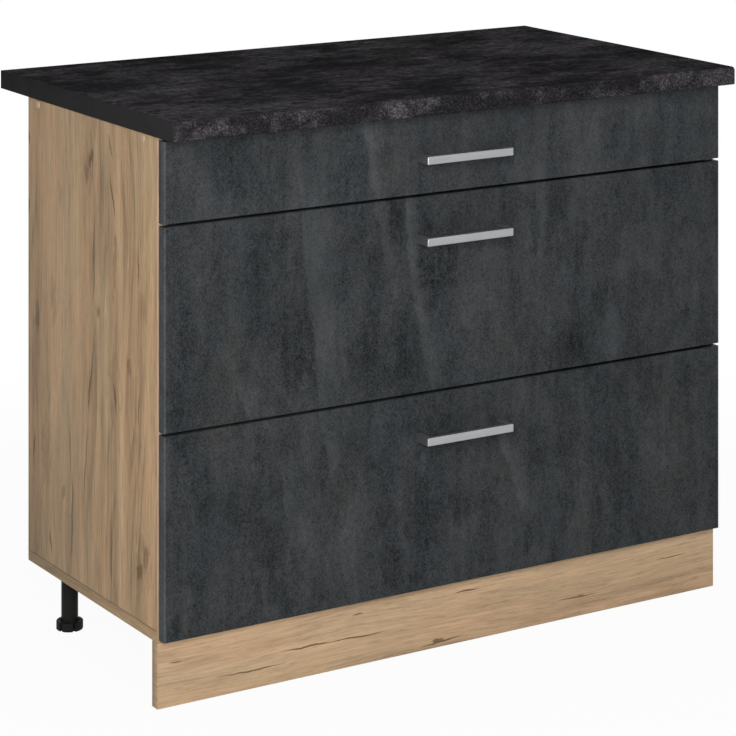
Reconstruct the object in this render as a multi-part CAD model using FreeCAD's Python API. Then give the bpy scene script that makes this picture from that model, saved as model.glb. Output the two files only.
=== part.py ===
import FreeCAD, Part
import math
import os

vec = FreeCAD.Vector

# Base cabinet with three drawers, on adjustable legs behind a clipped plinth.
# X runs to the right, Y to the back and Z up, in millimetres. The origin is on the floor,
# in the middle of the worktop's width and depth.

# ---- body of faced chipboard
body_width = 1000.0            # over both side panels
side_depth = 430.0             # side panel with its front edge band
leg_height = 95.0              # floor to the underside of the bottom panel
body_height = 715.0            # underside of the bottom panel to underside of the worktop
board = 16.0                   # chipboard of the body
band = 2.0                     # edge band on the front edges
band_round = 0.9               # rounding of the edge band's long edges
hardboard = 3.0                # back panel
back_inset = 2.0               # back panel stops this far inside the body's outline
rail_width = 70.0              # top rails, lying flat
rail_setback = 10.0            # front rail behind the side panels' front edge

# ---- worktop
worktop_thickness = 28.0
worktop_depth = 580.0
front_overhang = 35.0          # worktop in front of the drawer fronts
end_strip = 2.0                # strip on each end of the worktop
nose_radius = 6.0              # rounding along the top of the front edge
heel_radius = 3.0              # rounding along the bottom of the front edge

# ---- plinth
plinth_thickness = 16.0
plinth_floor_gap = 1.0
plinth_top_gap = 0.5

# ---- drawer fronts
front_thickness = 16.0
top_front_height = 117.0
front_gap = 4.0                # between two fronts
top_reveal = 4.5               # above the top front
bottom_reveal = 3.5            # below the bottom front
side_reveal = 2.0              # front's end to the body's outer face
front_stand_off = 1.0          # closed front to the body's front edge
front_edge_radius = 1.6        # wrapped front edges

# ---- handles
handle_length = 154.0
handle_height = 12.0
handle_projection = 34.0
handle_bar = 8.0               # thickness of the grip bar
handle_leg = 10.0              # width of each leg
handle_drop = 62.0             # front's top edge to the handle's centre line
handle_bevel = 1.0
handle_inner_radius = 2.0

# ---- roller runners; distances across are taken from the side panel's inner face
runner_setback = 2.0           # behind the side panel's front edge
runner_end_space = 28.0        # runner's rear end to the side panel's rear edge
runner_metal = 1.2
runner_reach = 11.0            # lower flange
runner_lip = 3.5               # turned-up edge of the lower flange, over the flange
runner_top_reach = 9.0         # upper flange
runner_lift = 13.5             # front's bottom edge to the runner's underside
channel_play = 0.9             # above a roller inside the channel
stop_height = 14.0             # turned-up stop at the channel's rear end
roller_radius = 11.0
roller_width = 5.6
roller_side_play = 2.0         # runner's web to the roller
rolling_gap = 0.3              # roller to its track
axle_radius = 2.45
axle_play = 0.05
axle_end_play = 0.1
front_roller_inset = 12.0      # runner's front end to the front roller's axle
top_flange_cut = 14.0          # front roller's axle to where the upper flange starts

# ---- drawer walls of folded steel
wall_metal = 1.0
wall_gap = 12.75               # side panel to the wall's outer face
wall_flange = 12.0             # flange below the drawer's base
wall_drop = 2.0                # runner's underside to the wall's underside
track_reach = 10.75            # hem that runs on the front roller
track_clearance = 0.6          # hem over the runner's upper flange
bead_reach = 5.0               # folded bead along the top
bead_lip = 6.0
bead_round = 0.9
top_wall_height = 84.0
pot_wall_height = 118.0
bracket_reach = 18.0           # front fixing flange
bracket_metal = 1.5
bracket_margin = 6.0           # bracket's ends below the bead and above the base
roller_inset = 12.0            # wall's rear end to the rear roller's axle
drawer_board = 16.0            # base and back of a drawer
drawer_board_play = 0.3        # base and back between the walls
base_front_play = 0.5          # base to the front
top_back_drop = 2.0            # top drawer's back below its walls
pot_back_height = 176.0        # above the base
rail_rod_radius = 5.0          # gallery rails of the pot drawers
rail_rod_inset = 8.0           # wall's inner face to the rod's centre
rail_rod_drop = 14.0           # back's top edge to the rod's centre

# ---- legs
leg_inset_side = 41.0          # body's outer face to the leg's axis
leg_inset_back = 61.0          # side panels' rear edge to the rear legs' axes
leg_inset_front = 30.0         # plinth's inner face to the front legs' axes
socket_plate = 56.0
socket_plate_thickness = 3.5
socket_corner = 7.0
collar_depth = 13.0
collar_wall = 4.0
socket_rib = 2.0               # thickness of the gussets round the collar
socket_rib_reach = 9.0         # along the plate
socket_rib_drop = 10.0         # down the collar
socket_ribs = 4
stem_radius = 12.9
stem_play = 0.05
foot_radius = 20.5
foot_height = 13.0
foot_floor = 4.0               # below the well that the stem stands in
foot_well_play = 1.7           # stem to the well's wall
foot_slots = 6                 # for the tool that turns the foot
foot_slot_depth = 3.3
foot_slot_width = 2.9
foot_seat_gap = 0.3            # well's floor to the stem's end when screwed right in
foot_travel = 20.0             # how far a foot screws out
spindle_radius = 6.0
spindle_play = 0.06
spindle_grip = 29.0            # left inside the stem when the foot is right out
spindle_end_play = 2.0

# ---- plinth clips
clip_height = 14.0
clip_wall = 2.6
clip_opening = 110.0           # degrees, towards the back
clip_plate_width = 38.0
clip_plate_height = 22.0
clip_plate_thickness = 3.0
clip_neck = 8.0
clip_level = 0.5               # share of the plinth's height

# ---- flats on the small round pieces
cap_sides = 16
axle_sides = 12
well_sides = 24
fastener_sides = 8

# ---- fasteners
hole_play = 0.05
joint_head_radius = 5.0        # joint screws of the body
joint_head = 2.5
joint_shank_radius = 3.0
joint_length = 50.0
cap_radius = 6.0               # covers over the joint screws
cap_height = 1.0
bolt_head_radius = 3.8         # handle bolts
bolt_head = 2.4
bolt_radius = 2.0
bolt_grip = 9.0                # length inside the handle's leg
bolt_hole_play = 0.3           # in the drawer front
bolt_end_play = 1.0            # in the handle's leg

# ---- places worked out from the sizes above
half_body = body_width / 2
half_inner = half_body - board
z_floor_panel = leg_height
z_inside = leg_height + board
z_body_top = leg_height + body_height
z_rail = z_body_top - board
y_worktop_front = -worktop_depth / 2
y_worktop_back = worktop_depth / 2
y_face = y_worktop_front + front_overhang
y_front_back = y_face + front_thickness
y_body = y_front_back + front_stand_off
y_body_back = y_body + side_depth
half_worktop = half_body
pot_front_height = (
    body_height - top_reveal - bottom_reveal - 2 * front_gap - top_front_height
) / 2

runner_channel = 2 * roller_radius + rolling_gap + channel_play
runner_height = 2 * runner_metal + runner_channel
track_level = runner_height + track_clearance
rear_axle_level = runner_metal + rolling_gap + roller_radius
front_axle_level = track_level - rolling_gap - roller_radius
roller_near = runner_metal + roller_side_play
roller_far = roller_near + roller_width
y_runner = y_body + runner_setback
runner_length = side_depth - runner_setback - runner_end_space
wall_length = runner_length
y_front_axle = y_runner + front_roller_inset
y_wall_end = y_front_back + wall_length
y_rear_axle = y_wall_end - roller_inset
wall_inner = wall_gap + wall_metal
base_level = wall_drop + wall_metal            # underside of a drawer's base
base_top = base_level + drawer_board
half_base = half_inner - wall_inner - drawer_board_play
y_back_front = y_wall_end - drawer_board
handle_span = handle_length - handle_leg
spindle_length = foot_travel + spindle_grip
past = 1.0                     # how far a cutting tool runs past the face it opens

leg_x = half_body - leg_inset_side
leg_y_back = y_body_back - leg_inset_back
leg_y_front = y_body + plinth_thickness + leg_inset_front
leg_places = {
    "front_left": (-leg_x, leg_y_front),
    "front_right": (leg_x, leg_y_front),
    "rear_left": (-leg_x, leg_y_back),
    "rear_right": (leg_x, leg_y_back),
}

RIGHT = vec(1, 0, 0)
LEFT = vec(-1, 0, 0)
BACK = vec(0, 1, 0)
FORWARD = vec(0, -1, 0)
UP = vec(0, 0, 1)


# ---- helpers
def block(x0, x1, y0, y1, z0, z1):
    return Part.makeBox(x1 - x0, y1 - y0, z1 - z0, vec(x0, y0, z0))


def face_of(points):
    corners = [vec(*p) for p in points]
    return Part.Face(Part.makePolygon(corners + corners[:1]))


def rod(radius, length, start, way):
    return Part.makeCylinder(radius, length, start, way)


def peg(radius, length, start, way, sides):
    # a small rod with flats; the radius is over its corners
    turn = 2 * math.pi / sides
    ring = [(radius * math.cos(turn * n), radius * math.sin(turn * n), 0) for n in range(sides)]
    return placed(face_of(ring).extrude(UP * length), start, way)


def peg_hole(radius, length, start, way, sides, play):
    # room for a peg of the given radius, however the peg is turned
    return peg((radius + play) / math.cos(math.pi / sides), length, start, way, sides)


def placed(piece, start, way):
    moved = piece.copy()
    moved.Placement = FreeCAD.Placement(start, FreeCAD.Rotation(UP, way))
    return moved


def mirrored(piece):
    return piece.mirror(vec(0, 0, 0), RIGHT)


def both_sides(pieces):
    return list(pieces) + [mirrored(p) for p in pieces]


def turned_copies(piece, count):
    # the same piece again and again round the Z axis
    copies = []
    for n in range(count):
        one = piece.copy()
        one.rotate(vec(0, 0, 0), UP, 360.0 * n / count)
        copies.append(one)
    return copies


def edges_where(shape, test):
    return [e for e in shape.Edges if test(e)]


def along(edge, way):
    # true for a straight edge that runs parallel to the given direction
    if len(edge.Vertexes) != 2 or edge.Curve.TypeId != "Part::GeomLine":
        return False
    run = edge.Vertexes[1].Point - edge.Vertexes[0].Point
    return run.cross(way).Length < 1e-6 * run.Length


def save(name, *pieces):
    shape = pieces[0] if len(pieces) == 1 else Part.makeCompound(list(pieces))
    shape.exportStep(f"parts/{name}.step")
    print(name, len(shape.Solids), "solids", round(shape.Volume / 1000, 1), "cm3")


# ---- fasteners
def joint_screw(start, way):
    head = peg(joint_head_radius, joint_head, start, way, fastener_sides)
    return head.fuse(peg(joint_shank_radius, joint_length, start, way, fastener_sides))


def joint_hole(start, way):
    head = peg_hole(joint_head_radius, joint_head, start, way, fastener_sides, hole_play)
    length = joint_length + hole_play
    return head.fuse(
        peg_hole(joint_shank_radius, length, start, way, fastener_sides, hole_play)
    )


def handle_bolt(start, way):
    length = front_thickness + bolt_grip
    head = peg(bolt_head_radius, bolt_head, start - way * bolt_head, way, fastener_sides)
    return head.fuse(peg(bolt_radius, length, start, way, fastener_sides))


# ---- the drawers, from the bottom up: name, front height, wall height, back height, gallery
def drawer_plan():
    pot_back = pot_back_height
    top_back = wall_drop + top_wall_height - top_back_drop - base_top
    rows = (
        ("bottom", pot_front_height, pot_wall_height, pot_back, True),
        ("middle", pot_front_height, pot_wall_height, pot_back, True),
        ("top", top_front_height, top_wall_height, top_back, False),
    )
    plan = []
    level = z_floor_panel + bottom_reveal
    for name, height, wall, back, gallery in rows:
        plan.append(
            {
                "name": name,
                "z": level,
                "height": height,
                "wall": wall,
                "back": back,
                "gallery": gallery,
                "runner": level + runner_lift,
            }
        )
        level += height + front_gap
    return plan


# ---- body
def rail_spans():
    front = y_body + rail_setback
    rear = y_body_back - rail_width
    return ((front, front + rail_width), (rear, rear + rail_width))


def rail_screw_starts():
    # joint screws through the left side panel into the rails' ends
    level = z_rail + board / 2
    return [vec(-half_body, (y0 + y1) / 2, level) for y0, y1 in rail_spans()]


def base_screw_starts():
    # joint screws up through the bottom panel into the left side panel's lower edge
    x = -half_body + board / 2
    run = side_depth / 4
    return [vec(x, y_body + run * n, z_floor_panel) for n in (1, 3)]


def clip_z():
    return plinth_floor_gap + plinth_height() * clip_level


def plinth_height():
    return leg_height - plinth_floor_gap - plinth_top_gap


def side_panel():
    panel = block(
        -half_body, -half_inner, y_body + band, y_body_back, z_inside, z_body_top
    )
    holes = [joint_hole(p, RIGHT) for p in rail_screw_starts()]
    holes += [joint_hole(p, UP) for p in base_screw_starts()]
    return panel.cut(holes)


def bottom_panel():
    panel = block(
        -half_body, half_body, y_body + band, y_body_back, z_floor_panel, z_inside
    )
    return panel.cut(both_sides([joint_hole(p, UP) for p in base_screw_starts()]))


def top_rail(span):
    y0, y1 = span
    rail = block(-half_inner, half_inner, y0, y1, z_rail, z_body_top)
    return rail.cut(both_sides([joint_hole(p, RIGHT) for p in rail_screw_starts()]))


def edge_bands():
    y0 = y_body
    y1 = y_body + band
    left = block(-half_body, -half_inner, y0, y1, z_inside, z_body_top)
    low = block(-half_body, half_body, y0, y1, z_floor_panel, z_inside)
    left = rounded_front(left, UP)
    low = rounded_front(low, RIGHT)
    return [left, mirrored(left), low]


def rounded_front(strip, way):
    face_y = strip.BoundBox.YMin
    chosen = edges_where(
        strip, lambda e: along(e, way) and abs(e.Vertexes[0].Point.y - face_y) < 1e-6
    )
    return strip.makeFillet(band_round, chosen)


def back_panel():
    return block(
        -half_body + back_inset,
        half_body - back_inset,
        y_body_back,
        y_body_back + hardboard,
        z_floor_panel + back_inset,
        z_body_top - back_inset,
    )


def screw_caps():
    caps = [peg(cap_radius, cap_height, p, LEFT, cap_sides) for p in rail_screw_starts()]
    return both_sides(caps)


# ---- worktop
def worktop_section():
    # outline across the worktop, with the rounded front edge
    z0 = z_body_top
    z1 = z_body_top + worktop_thickness
    y0 = y_worktop_front
    y1 = y_worktop_back
    slant = math.sqrt(0.5)
    nose_mid = vec(
        0, y0 + nose_radius * (1 - slant), z1 - nose_radius * (1 - slant)
    )
    heel_mid = vec(
        0, y0 + heel_radius * (1 - slant), z0 + heel_radius * (1 - slant)
    )
    heel_start = vec(0, y0 + heel_radius, z0)
    heel_end = vec(0, y0, z0 + heel_radius)
    nose_start = vec(0, y0, z1 - nose_radius)
    nose_end = vec(0, y0 + nose_radius, z1)
    rear_top = vec(0, y1, z1)
    rear_low = vec(0, y1, z0)
    edges = [
        Part.Arc(heel_start, heel_mid, heel_end).toShape(),
        Part.makeLine(heel_end, nose_start),
        Part.Arc(nose_start, nose_mid, nose_end).toShape(),
        Part.makeLine(nose_end, rear_top),
        Part.makeLine(rear_top, rear_low),
        Part.makeLine(rear_low, heel_start),
    ]
    return Part.Face(Part.Wire(edges))


def worktop():
    slab = worktop_section()
    slab.translate(vec(-half_worktop, 0, 0))
    return slab.extrude(vec(2 * half_worktop, 0, 0))


def worktop_strip():
    strip = worktop_section()
    strip.translate(vec(-half_worktop - end_strip, 0, 0))
    return strip.extrude(vec(end_strip, 0, 0))


# ---- plinth and its clips
def plinth():
    return block(
        -half_body,
        half_body,
        y_body,
        y_body + plinth_thickness,
        plinth_floor_gap,
        plinth_floor_gap + plinth_height(),
    )


def plinth_clip():
    x = -leg_x
    z0 = clip_z() - clip_height / 2
    grip = stem_radius + stem_play
    outer = grip + clip_wall
    y_plate = y_body + plinth_thickness
    centre = vec(x, leg_y_front, z0)
    ring = rod(outer, clip_height, centre, UP).cut(rod(grip, clip_height, centre, UP))
    half = math.radians(clip_opening / 2)
    far = 2 * outer
    mouth = face_of(
        [
            (x, leg_y_front, z0),
            (x + far * math.sin(half), leg_y_front + far * math.cos(half), z0),
            (x, leg_y_front + 2 * far, z0),
            (x - far * math.sin(half), leg_y_front + far * math.cos(half), z0),
        ]
    ).extrude(vec(0, 0, clip_height))
    ring = ring.cut(mouth)
    plate_z0 = clip_z() - clip_plate_height / 2
    plate = block(
        x - clip_plate_width / 2,
        x + clip_plate_width / 2,
        y_plate,
        y_plate + clip_plate_thickness,
        plate_z0,
        plate_z0 + clip_plate_height,
    )
    neck = block(
        x - clip_neck / 2,
        x + clip_neck / 2,
        y_plate + clip_plate_thickness,
        leg_y_front - grip - clip_wall / 2,
        z0,
        z0 + clip_height,
    )
    return plate.fuse([neck, ring]).removeSplitter()


# ---- legs
def leg_socket(place):
    x, y = place
    half = socket_plate / 2
    z1 = z_floor_panel
    z0 = z1 - socket_plate_thickness
    plate = block(-half, half, -half, half, z0, z1)
    plate = plate.makeChamfer(socket_corner, edges_where(plate, lambda e: along(e, UP)))
    bore = stem_radius + stem_play
    outer = bore + collar_wall
    low = vec(0, 0, z0 - collar_depth)
    rib = face_of(
        [
            (bore + collar_wall / 2, -socket_rib / 2, z0),
            (outer + socket_rib_reach, -socket_rib / 2, z0),
            (bore + collar_wall / 2, -socket_rib / 2, z0 - socket_rib_drop),
        ]
    ).extrude(vec(0, socket_rib, 0))
    collar = rod(outer, collar_depth, low, UP)
    body = plate.fuse([collar] + turned_copies(rib, socket_ribs)).removeSplitter()
    piece = body.cut(rod(bore, collar_depth, low, UP))
    piece.translate(vec(x, y, 0))
    return piece


def leg_stem(place):
    x, y = place
    z0 = foot_floor + foot_seat_gap
    z1 = z_floor_panel - socket_plate_thickness
    start = vec(x, y, z0)
    depth = foot_floor + spindle_length + spindle_end_play - z0
    bore = peg_hole(spindle_radius, depth, start, UP, axle_sides, spindle_play)
    return rod(stem_radius, z1 - z0, start, UP).cut(bore)


def foot(place):
    x, y = place
    pad = rod(foot_radius, foot_height, vec(0, 0, 0), UP)
    slot = block(
        foot_radius - foot_slot_depth,
        foot_radius + past,
        -foot_slot_width / 2,
        foot_slot_width / 2,
        -past,
        foot_height + past,
    )
    floor = UP * foot_floor
    well = peg_hole(stem_radius, foot_height, floor, UP, well_sides, foot_well_play)
    spindle = peg(spindle_radius, spindle_length, floor, UP, axle_sides)
    piece = pad.cut([well] + turned_copies(slot, foot_slots)).fuse(spindle).removeSplitter()
    piece.translate(vec(x, y, 0))
    return piece


# ---- runners and rollers
def runner(drawer):
    z = drawer["runner"]
    t = runner_metal
    outline = [
        (0, 0),
        (runner_reach, 0),
        (runner_reach, t + runner_lip),
        (runner_reach - t, t + runner_lip),
        (runner_reach - t, t),
        (t, t),
        (t, runner_height - t),
        (runner_top_reach, runner_height - t),
        (runner_top_reach, runner_height),
        (0, runner_height),
    ]
    rail = face_of([(s - half_inner, y_runner, z + h) for s, h in outline])
    rail = rail.extrude(vec(0, runner_length, 0))
    mouth = block(
        t - half_inner,
        runner_top_reach + past - half_inner,
        y_runner - past,
        y_front_axle + top_flange_cut,
        z + runner_height - t - past,
        z + runner_height + past,
    )
    stop = block(
        t - half_inner,
        runner_top_reach - half_inner,
        y_runner + runner_length - t,
        y_runner + runner_length,
        z + t,
        z + t + stop_height,
    )
    start = vec(t - half_inner, y_front_axle, z + front_axle_level)
    reach = roller_far + axle_end_play - t
    axle = peg(axle_radius, reach, start, RIGHT, axle_sides)
    return rail.cut(mouth).fuse([stop, axle]).removeSplitter()


def roller(y, z):
    start = vec(roller_near - half_inner, y, z)
    wheel = rod(roller_radius, roller_width, start, RIGHT)
    return wheel.cut(peg_hole(axle_radius, roller_width, start, RIGHT, axle_sides, axle_play))


# ---- drawer pieces
def bracket_span(drawer):
    low = drawer["runner"] + base_top + bracket_margin
    high = drawer["runner"] + wall_drop + drawer["wall"] - bracket_margin
    return low, high


def bolt_starts(drawer):
    z = drawer["z"] + drawer["height"] - handle_drop
    return [vec(i * handle_span / 2, y_front_back, z) for i in (-1, 1)]


def drawer_wall(drawer):
    z = drawer["runner"]
    t = wall_metal
    g = wall_gap
    low = wall_drop
    top = wall_drop + drawer["wall"]
    track = track_level
    outline = [
        (g, low),
        (wall_inner + wall_flange, low),
        (wall_inner + wall_flange, low + t),
        (wall_inner, low + t),
        (wall_inner, top),
        (g - bead_reach, top),
        (g - bead_reach, top - bead_lip),
        (g - bead_reach + t, top - bead_lip),
        (g - bead_reach + t, top - t),
        (g, top - t),
        (g, track + 2 * t),
        (g - track_reach, track + 2 * t),
        (g - track_reach, track),
        (g, track),
    ]
    y0 = y_front_back
    wall = face_of([(s - half_inner, y0, z + h) for s, h in outline])
    wall = wall.extrude(vec(0, wall_length, 0))
    bends = (wall_inner - half_inner, g - bead_reach - half_inner)
    crest = edges_where(
        wall,
        lambda e: along(e, BACK)
        and abs(e.Vertexes[0].Point.z - z - top) < 1e-6
        and min(abs(e.Vertexes[0].Point.x - b) for b in bends) < 1e-6,
    )
    wall = wall.makeFillet(bead_round, crest)
    b0, b1 = bracket_span(drawer)
    bracket = block(
        wall_inner - half_inner,
        wall_inner + bracket_reach - half_inner,
        y0,
        y0 + bracket_metal,
        b0,
        b1,
    )
    start = vec(g - half_inner, y_rear_axle, z + rear_axle_level)
    reach = g - roller_near + axle_end_play
    axle = peg(axle_radius, reach, start, LEFT, axle_sides)
    return wall.fuse([bracket, axle]).removeSplitter()


def drawer_base(drawer):
    z = drawer["runner"]
    return block(
        -half_base,
        half_base,
        y_front_back + base_front_play,
        y_wall_end,
        z + base_level,
        z + base_top,
    )


def drawer_back(drawer):
    z = drawer["runner"] + base_top
    return block(-half_base, half_base, y_back_front, y_wall_end, z, z + drawer["back"])


def drawer_front(drawer):
    half = half_body - side_reveal
    z0 = drawer["z"]
    z1 = z0 + drawer["height"]
    panel = block(-half, half, y_face, y_front_back, z0, z1)
    rim = edges_where(
        panel, lambda e: all(abs(v.Point.y - y_face) < 1e-6 for v in e.Vertexes)
    )
    panel = panel.makeFillet(front_edge_radius, rim)
    holes = [
        peg_hole(bolt_radius, front_thickness, p, FORWARD, fastener_sides, bolt_hole_play)
        for p in bolt_starts(drawer)
    ]
    return panel.cut(holes)


def handle(drawer):
    z = drawer["z"] + drawer["height"] - handle_drop
    half = handle_length / 2
    inner = half - handle_leg
    y0 = y_face - handle_projection
    y1 = y0 + handle_bar
    outline = [
        (-half, y_face),
        (-half, y0),
        (half, y0),
        (half, y_face),
        (inner, y_face),
        (inner, y1),
        (-inner, y1),
        (-inner, y_face),
    ]
    bow = face_of([(x, y, z - handle_height / 2) for x, y in outline])
    bow = bow.extrude(vec(0, 0, handle_height))
    corner = edges_where(
        bow,
        lambda e: along(e, UP)
        and abs(abs(e.Vertexes[0].Point.x) - inner) < 1e-6
        and abs(e.Vertexes[0].Point.y - y1) < 1e-6,
    )
    bow = bow.makeFillet(handle_inner_radius, corner)
    outside = edges_where(
        bow,
        lambda e: any(v.Point.y < y_face - 1e-6 for v in e.Vertexes)
        and all(
            abs(v.Point.y - y0) < 1e-6 or abs(abs(v.Point.x) - half) < 1e-6
            for v in e.Vertexes
        ),
    )
    bow = bow.makeChamfer(handle_bevel, outside)
    depth = bolt_grip + bolt_end_play
    tools = []
    for start in bolt_starts(drawer):
        mouth = vec(start.x, y_face, start.z)
        tools.append(peg_hole(bolt_radius, depth, mouth, FORWARD, fastener_sides, hole_play))
    return bow.cut(tools)


def handle_bolts(drawer):
    return [handle_bolt(p, FORWARD) for p in bolt_starts(drawer)]


def gallery_rails(drawer):
    x = -half_inner + wall_inner + rail_rod_inset
    z = drawer["runner"] + base_top + drawer["back"] - rail_rod_drop
    run = y_back_front - y_front_back
    return both_sides([rod(rail_rod_radius, run, vec(x, y_front_back, z), BACK)])


# ---- the whole cabinet
def build():
    os.makedirs("parts", exist_ok=True)
    plan = drawer_plan()

    left = side_panel()
    save("side_panel_left", left)
    save("side_panel_right", mirrored(left))
    save("bottom_panel", bottom_panel())
    spans = rail_spans()
    save("top_rail_front", top_rail(spans[0]))
    save("top_rail_rear", top_rail(spans[1]))
    save("carcass_edge_bands", *edge_bands())
    save("back_panel", back_panel())
    save("screw_caps", *screw_caps())

    save("worktop", worktop())
    strip = worktop_strip()
    save("worktop_end_strip_left", strip)
    save("worktop_end_strip_right", mirrored(strip))

    joint_screws = [joint_screw(p, RIGHT) for p in rail_screw_starts()]
    joint_screws += [joint_screw(p, UP) for p in base_screw_starts()]
    save("carcass_screws", *both_sides(joint_screws))

    save("plinth", plinth())
    clip = plinth_clip()
    save("plinth_clips", clip, mirrored(clip))

    save("leg_sockets", *[leg_socket(place) for place in leg_places.values()])
    save("leg_stems", *[leg_stem(place) for place in leg_places.values()])
    for corner, place in leg_places.items():
        save(f"foot_{corner}", foot(place))

    for drawer in plan:
        name = drawer["name"]
        rail = runner(drawer)
        save(f"{name}_runner_left", rail)
        save(f"{name}_runner_right", mirrored(rail))
        wheel = roller(y_front_axle, drawer["runner"] + front_axle_level)
        save(f"{name}_runner_rollers", wheel, mirrored(wheel))
        wheel = roller(y_rear_axle, drawer["runner"] + rear_axle_level)
        save(f"{name}_drawer_rollers", wheel, mirrored(wheel))
        wall = drawer_wall(drawer)
        save(f"{name}_drawer_wall_left", wall)
        save(f"{name}_drawer_wall_right", mirrored(wall))
        save(f"{name}_drawer_base", drawer_base(drawer))
        save(f"{name}_drawer_back", drawer_back(drawer))
        save(f"{name}_drawer_front", drawer_front(drawer))
        save(f"{name}_drawer_handle", handle(drawer))
        save(f"{name}_handle_bolts", *handle_bolts(drawer))
        if drawer["gallery"]:
            save(f"{name}_gallery_rails", *gallery_rails(drawer))


build()
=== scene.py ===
import math

import bmesh
import bpy
from mathutils import Matrix, Vector


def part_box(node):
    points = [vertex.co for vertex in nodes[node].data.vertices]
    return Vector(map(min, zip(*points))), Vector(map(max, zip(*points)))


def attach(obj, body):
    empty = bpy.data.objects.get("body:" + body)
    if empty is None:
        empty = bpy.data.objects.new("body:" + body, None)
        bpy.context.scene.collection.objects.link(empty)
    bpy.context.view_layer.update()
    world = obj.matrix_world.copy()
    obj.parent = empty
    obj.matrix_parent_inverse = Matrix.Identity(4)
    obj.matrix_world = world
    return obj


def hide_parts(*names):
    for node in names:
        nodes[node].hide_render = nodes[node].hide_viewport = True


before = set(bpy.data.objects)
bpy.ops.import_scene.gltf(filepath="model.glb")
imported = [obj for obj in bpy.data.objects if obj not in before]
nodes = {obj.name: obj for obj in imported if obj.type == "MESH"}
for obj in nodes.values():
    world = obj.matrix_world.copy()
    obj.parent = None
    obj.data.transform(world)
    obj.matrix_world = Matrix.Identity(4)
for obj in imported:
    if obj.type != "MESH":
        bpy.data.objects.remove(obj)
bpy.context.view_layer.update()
drawers = ("bottom", "middle", "top")
potDrawers = drawers[:2]          # the two deep ones, with gallery rails
corners = ("front_left", "front_right", "rear_left", "rear_right")
print("frame loaded:", len(nodes), "nodes")

# places read from the frame
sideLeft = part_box("side_panel_left")
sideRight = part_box("side_panel_right")
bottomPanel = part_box("bottom_panel")
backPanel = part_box("back_panel")
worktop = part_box("worktop")
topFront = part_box("top_drawer_front")
topRails = ("top_rail_front", "top_rail_rear")


def middle(node):
    low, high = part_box(node)
    return (Vector(low) + Vector(high)) / 2


# shader sockets that take part in plain Python expressions
def operation(name, swapped=False):
    def apply(self, other):
        first, second = (other, self) if swapped else (self, other)
        return self.finish.add("ShaderNodeMath", {"operation": name}, {0: first, 1: second})
    return apply


class Signal:
    def __init__(self, finish, socket):
        self.finish = finish
        self.socket = socket

    __add__ = operation("ADD")
    __radd__ = operation("ADD")
    __sub__ = operation("SUBTRACT")
    __rsub__ = operation("SUBTRACT", swapped=True)
    __mul__ = operation("MULTIPLY")
    __rmul__ = operation("MULTIPLY")


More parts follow.
